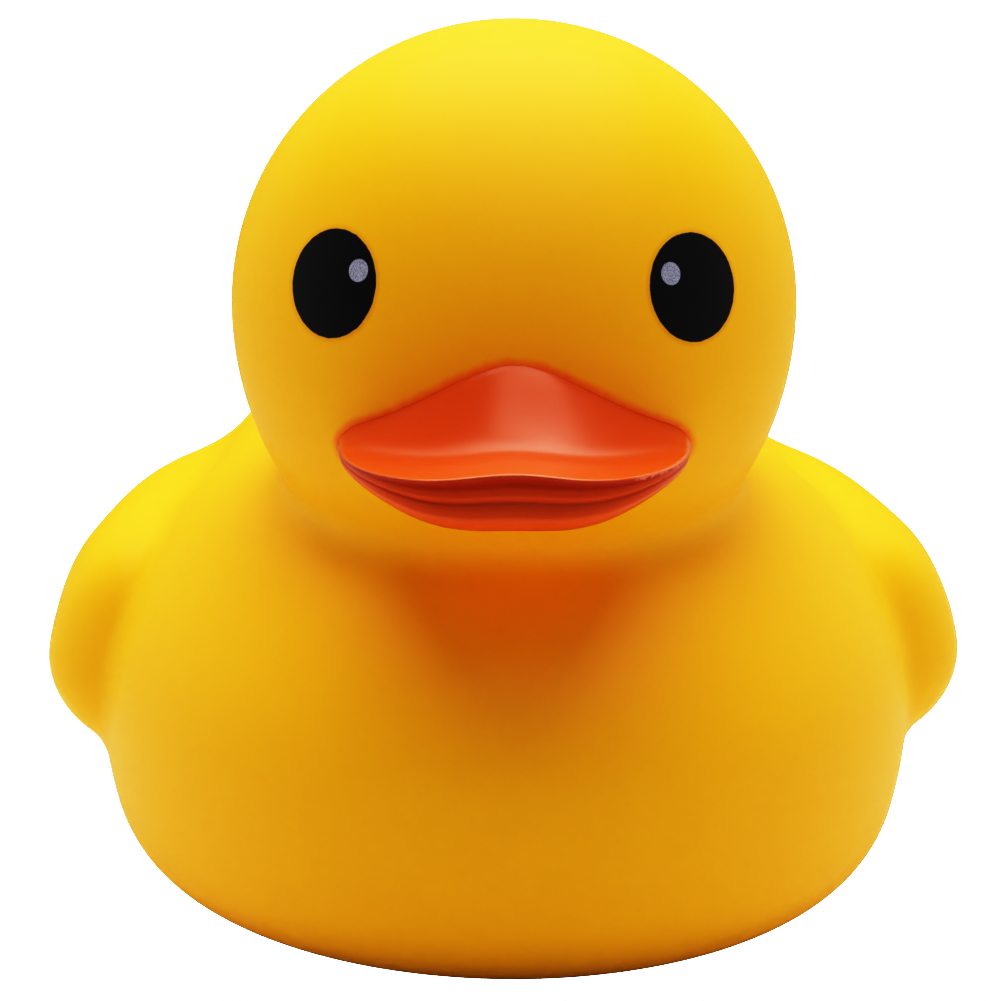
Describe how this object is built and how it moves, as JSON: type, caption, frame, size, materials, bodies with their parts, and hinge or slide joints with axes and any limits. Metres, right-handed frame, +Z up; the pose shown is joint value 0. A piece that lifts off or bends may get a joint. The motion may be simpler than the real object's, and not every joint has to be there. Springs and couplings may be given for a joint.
{
  "type": "rubber duck",
  "caption": "Soft vinyl bath duck with a round head, broad bill, low wings, upswept tail and flat base, moulded in one piece.",
  "frame": {"origin": "on the ground under the middle of the duck's bounding box", "axes": "+Z up, -Y along the chest and bill, +Y along the tail, +X towards the duck's left wing"},
  "size_m": [0.1024, 0.1223, 0.1007],
  "materials": {
    "vinyl": "satin"
  },
  "bodies": {
    "root": {"duck": "vinyl"}
  },
  "joints": []
}
